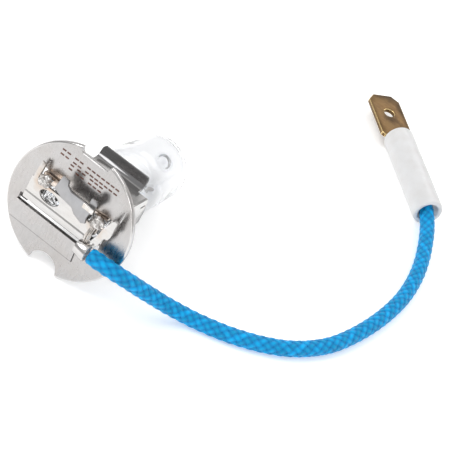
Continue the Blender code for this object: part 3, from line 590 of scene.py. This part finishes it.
def braided_lead():
    """A round braid: two sets of yarns cross over and under each other in relief."""
    centres, run = even_points(CORD_ROUTE, BRAID_STEP)
    across = np.array([[a[:], b[:]] for a, b in frames([Vector(p) for p in centres])])
    sides = BRAID_SIDES
    turn = np.linspace(0.0, 2 * math.pi, sides, endpoint=False)
    s, t = np.meshgrid(run, turn, indexing="ij")
    one = CARRIERS * t / (2 * math.pi) + s / YARN_LEAD
    two = CARRIERS * t / (2 * math.pi) - s / YARN_LEAD
    weave = np.cos(math.pi * one) * np.cos(math.pi * two)
    off_one, off_two = one - np.round(one), two - np.round(two)
    high_one = np.sqrt(np.clip(1 - (2 * off_one) ** 2, 0, 1)) + 0.55 * weave
    high_two = np.sqrt(np.clip(1 - (2 * off_two) ** 2, 0, 1)) - 0.55 * weave
    top = high_one > high_two
    rise = np.clip(np.where(top, high_one, high_two) / 1.5, 0, 1)
    cross = np.where(top, off_one, off_two) + 0.5
    yarn = np.where(top, np.round(one) % CARRIERS, CARRIERS + np.round(two) % CARRIERS)
    tone = np.modf(np.abs(np.sin(yarn * 12.9898) * 43758.5453))[0]
    fade = np.clip(run / END_FADE, 0, 1)[:, None] * np.clip((run[-1] - run) / END_FADE, 0, 1)[:, None]
    radius = CORD_RADIUS + YARN_RISE * rise * fade
    points = centres[:, None, :] + radius[..., None] * (
        np.cos(t)[..., None] * across[:, None, 0, :] + np.sin(t)[..., None] * across[:, None, 1, :])
    rows, flat = len(run), (points.reshape(-1, 3) * MM).tolist()
    faces = [(i * sides + k, i * sides + (k + 1) % sides,
              (i + 1) * sides + (k + 1) % sides, (i + 1) * sides + k)
             for i in range(rows - 1) for k in range(sides)]
    faces += [tuple(range(sides))[::-1], tuple((rows - 1) * sides + k for k in range(sides))]
    mesh = bpy.data.meshes.new("lead_braid")
    mesh.from_pydata(flat, [], faces)
    # The rise goes to the paint, which lays painted shade in the valleys and painted light on the crests.
    facts = np.stack([cross, tone, rise, np.ones_like(rise)], axis=-1).reshape(-1, 4)
    mesh.color_attributes.new("yarn", "FLOAT_COLOR", "POINT").data.foreach_set("color", facts.ravel())
    mesh.shade_smooth()
    mesh.materials.append(BRAID)
    work = bmesh.new()
    work.from_mesh(mesh)
    bmesh.ops.recalc_face_normals(work, faces=work.faces)
    work.to_mesh(mesh)
    work.free()
    piece = keep(bpy.data.objects.new("lead_braid", mesh), "blue_braid", "lead_cable")
    return piece, [tuple(p) for p in centres[::8] * MM] + [tuple(centres[-1] * MM)], run[-1] * MM


# ------------------------------------------------------------------ terminal
def revolved(name, profile, sides, matrix, paints, slot, node, wobble):
    """A closed ring profile of (radius, y) in mm spun round y, with a slight unevenness."""
    work = bmesh.new()
    rings = []
    for radius, y in profile:
        ring = []
        for k in range(sides):
            t = 2 * math.pi * k / sides
            r = radius + wobble * noise.noise(Vector((math.cos(t) * 1.3, y * 0.2, math.sin(t) * 1.3)))
            ring.append(work.verts.new(matrix @ (Vector((r * math.cos(t), y, r * math.sin(t))) * MM)))
        rings.append(ring)
    for one, two in zip(rings, rings[1:] + rings[:1]):
        for k in range(sides):
            work.faces.new((one[k], one[(k + 1) % sides], two[(k + 1) % sides], two[k]))
    bmesh.ops.recalc_face_normals(work, faces=work.faces)
    return keep(from_bmesh(name, work, paints, 60.0), slot, node)


def arc(cx, cy, radius, start, end, steps):
    """Points on an arc, in degrees."""
    turns = [math.radians(start + (end - start) * k / steps) for k in range(steps + 1)]
    return [(cx + radius * math.cos(t), cy + radius * math.sin(t)) for t in turns]


SLEEVE_LENGTH, SLEEVE_R, SLEEVE_BORE, LIP_ROUND = 19.2, 2.75, 1.85, 0.42
SLEEVE_SIDES, SLEEVE_WOBBLE = 64, 0.05
far = SLEEVE_LENGTH - LIP_ROUND
outer = arc(SLEEVE_R - LIP_ROUND, LIP_ROUND, LIP_ROUND, -90, 0, 8) + [(SLEEVE_R, y) for y in range(2, 18, 2)]
outer += arc(SLEEVE_R - LIP_ROUND, far, LIP_ROUND, 0, 90, 8)
inner = arc(SLEEVE_BORE + LIP_ROUND, far, LIP_ROUND, 90, 180, 8)
inner += [(SLEEVE_BORE, y) for y in range(17, 1, -3)]
inner += arc(SLEEVE_BORE + LIP_ROUND, LIP_ROUND, LIP_ROUND, 180, 270, 8)
sleeve = revolved("terminal_sleeve_finished", outer + inner, SLEEVE_SIDES, TERMINAL, [SLEEVE], "white_sleeve",
                  "terminal_sleeve", SLEEVE_WOBBLE)


# ------------------------------------------------------------------ quartz envelope
PINCH = (5.5, 1.7, 1.2, 11.2)    # half width, half thickness, start and end along the axis, mm
BULB_R, BULB_START, BULB_END, DOME, WALL = 5.6, 16.5, 26.3, 3.1, 0.55
SIDES = 72
TIP_R, TIP_DEEP = 1.9, 0.3       # the sealed-off tip's thicker glass


def oval_ring(work, y, half_x, half_z, power):
    """One ring of the envelope: an oval at power 2, nearly a rectangle at a higher power."""
    ring = []
    for k in range(SIDES):
        t = 2 * math.pi * (k + 0.5) / SIDES
        c, s = math.cos(t), math.sin(t)
        ring.append(work.verts.new(LOCAL @ (Vector((half_x * math.copysign(abs(c) ** (2 / power), c), y,
                                                    half_z * math.copysign(abs(s) ** (2 / power), s))) * MM)))
    return ring


def skin(work, rings, close_start, close_end):
    """Faces between rings, with a fan at an end that closes on the axis."""
    for one, two in zip(rings, rings[1:]):
        for k in range(SIDES):
            work.faces.new((one[k], one[(k + 1) % SIDES], two[(k + 1) % SIDES], two[k]))
    for ring, apex in ((rings[0], close_start), (rings[-1], close_end)):
        if apex is None:
            work.faces.new(ring)
            continue
        point = work.verts.new(LOCAL @ (Vector((0.0, apex, 0.0)) * MM))
        for k in range(SIDES):
            work.faces.new((ring[k], ring[(k + 1) % SIDES], point))


def dome_profile(radius, start, height, steps):
    """(radius, y) over the shoulder and the flattened end."""
    out = []
    for k in range(1, steps):
        t = math.radians(90 * k / steps)
        out.append((radius * math.cos(t) ** 0.62, start + height * math.sin(t) ** 0.9))
    return out


def envelope():
    """Flat pinch, neck and round bulb with the sealed-off tip, and the hollow inside."""
    work = bmesh.new()
    half_x, half_z, y0, y1 = PINCH
    rings = [oval_ring(work, y0, half_x - 0.25, half_z - 0.25, 6),
             oval_ring(work, y0 + 0.08, half_x - 0.08, half_z - 0.08, 7)]
    rings += [oval_ring(work, y, half_x, half_z, 8) for y in (y0 + 0.25, 4.0, 8.0, y1)]
    for k in range(1, 13):
        t = k / 13
        ease = t * t * (3 - 2 * t)
        rings.append(oval_ring(work, y1 + (BULB_START - y1) * t, half_x + (BULB_R - half_x) * ease,
                               half_z + (BULB_R - half_z) * ease, 8 - 6 * min(1.0, 1.6 * ease)))
    rings += [oval_ring(work, y, BULB_R, BULB_R, 2) for y in (BULB_START, 18.0, 20.0, 22.0, 24.0, BULB_END)]
    tip_y = BULB_END + DOME
    rings += [oval_ring(work, y, r, r, 2) for r, y in dome_profile(BULB_R, BULB_END, DOME, 22) if r > TIP_R]
    nub = [(1.75, -0.06), (1.5, -0.12), (1.32, 0.0), (1.2, 0.2), (1.05, 0.4), (0.8, 0.53), (0.45, 0.6)]
    rings += [oval_ring(work, tip_y + rise, r, r, 2) for r, rise in nub]
    skin(work, rings, None, tip_y + 0.62)
    outside = set(work.faces)
    bore = BULB_R - WALL
    roof = BULB_END + DOME - WALL
    hollow = [(0.5, 12.45), (1.2, 12.7), (2.0, 13.2), (2.8, 14.0), (3.6, 14.9), (4.3, 15.9), (4.8, 16.8),
              (bore, 17.8)]
    hollow += [(bore, y) for y in (20.0, 22.0, 24.0, BULB_END)]
    hollow += [p for p in dome_profile(bore, BULB_END, DOME - WALL, 16) if p[0] > 1.2]
    hollow += [(1.0, roof - 0.05), (0.75, roof + 0.15), (0.4, roof + 0.3)]
    skin(work, [oval_ring(work, y, r, r * min(1.0, 0.45 + 0.55 * (y - 12.0) / 4.0) if y < 16 else r, 2)
                for r, y in hollow], 12.4, roof + 0.34)
    # Each shell is turned outwards, then the hollow's faces are turned to face into the hollow.
    bmesh.ops.recalc_face_normals(work, faces=work.faces)
    bmesh.ops.reverse_faces(work, faces=[face for face in work.faces if face not in outside])
    for face in work.faces:
        centre = FLAT @ face.calc_center_median() / MM
        face.material_index = int(centre.y > tip_y - TIP_DEEP and math.hypot(centre.x, centre.z) < TIP_R)
    keep(from_bmesh("quartz_envelope", work, [QUARTZ, QUARTZ_TIP], 60.0), "quartz", "glass_envelope")


envelope()

lead, lead_path, lead_length = braided_lead()


# ------------------------------------------------------------------ table, light
TABLE_HALF, TABLE_GAP = 1.5, 0.00005     # metres
TABLE_GLOW = 0.33
LAMP_AIM = Vector((0.01, 0.01, 0.01))


def table():
    """A large matt white table top with a faint glow, which keeps shadows pale."""
    work = bmesh.new()
    bmesh.ops.create_grid(work, x_segments=2, y_segments=2, size=TABLE_HALF)
    floor = from_bmesh("table", work, [])
    floor.location.z = cad_box[0][2] - TABLE_GAP
    made, shader, add, link = graph("table_white")
    where = add("TexCoord").outputs["Object"]
    cloud = add("TexNoise", Vector=where, Scale=12.0, Detail=2.0).outputs["Fac"]
    link(ramp(add, cloud, [(0.3, (0.90, 0.90, 0.90)), (0.7, (0.92, 0.92, 0.92))]), "Base Color")
    shader.inputs["Roughness"].default_value = 0.9
    shader.inputs["Emission Color"].default_value = (1.0, 1.0, 1.0, 1.0)
    shader.inputs["Emission Strength"].default_value = TABLE_GLOW
    floor.data.materials.append(made)
    scene.collection.objects.link(floor)


def soft_light(name, place, size, power):
    """A rectangular lamp that faces the object."""
    lamp = bpy.data.lights.new(name, "AREA")
    lamp.shape = "RECTANGLE"
    lamp.size, lamp.size_y = size
    lamp.energy = power
    made = bpy.data.objects.new(name, lamp)
    made.location = place
    made.rotation_euler = (LAMP_AIM - Vector(place)).to_track_quat("-Z", "Y").to_euler()
    scene.collection.objects.link(made)


table()
soft_light("key", (-0.45, -0.30, 0.75), (0.5, 0.5), 3.2)
soft_light("fill", (0.60, -0.55, 0.50), (0.5, 0.35), 1.3)
soft_light("back", (0.05, 0.80, 0.60), (0.9, 0.25), 2.2)

SKY_STRENGTH = 0.80
# Brightness by height: a darker band above the horizon gives the bare metal something to reflect.
SKY_STOPS = ((0.0, 1.0), (0.10, 0.95), (0.26, 0.55), (0.42, 0.55), (0.60, 1.0), (1.0, 1.0))
sky = bpy.data.worlds.new("studio")
scene.world = sky
sky.use_nodes = True
tree = sky.node_tree
where = tree.nodes.new("ShaderNodeTexCoord")
split = tree.nodes.new("ShaderNodeSeparateXYZ")
shade = tree.nodes.new("ShaderNodeValToRGB")
tree.links.new(where.outputs["Generated"], split.inputs[0])
tree.links.new(split.outputs["Z"], shade.inputs["Fac"])
tree.links.new(shade.outputs["Color"], tree.nodes["Background"].inputs["Color"])
while len(shade.color_ramp.elements) < len(SKY_STOPS):
    shade.color_ramp.elements.new(0.5)
for element, (place, level) in zip(shade.color_ramp.elements, SKY_STOPS):
    element.position = place
    element.color = (level, level, level, 1.0)
tree.nodes["Background"].inputs["Strength"].default_value = SKY_STRENGTH
scene.view_settings.view_transform = "Standard"
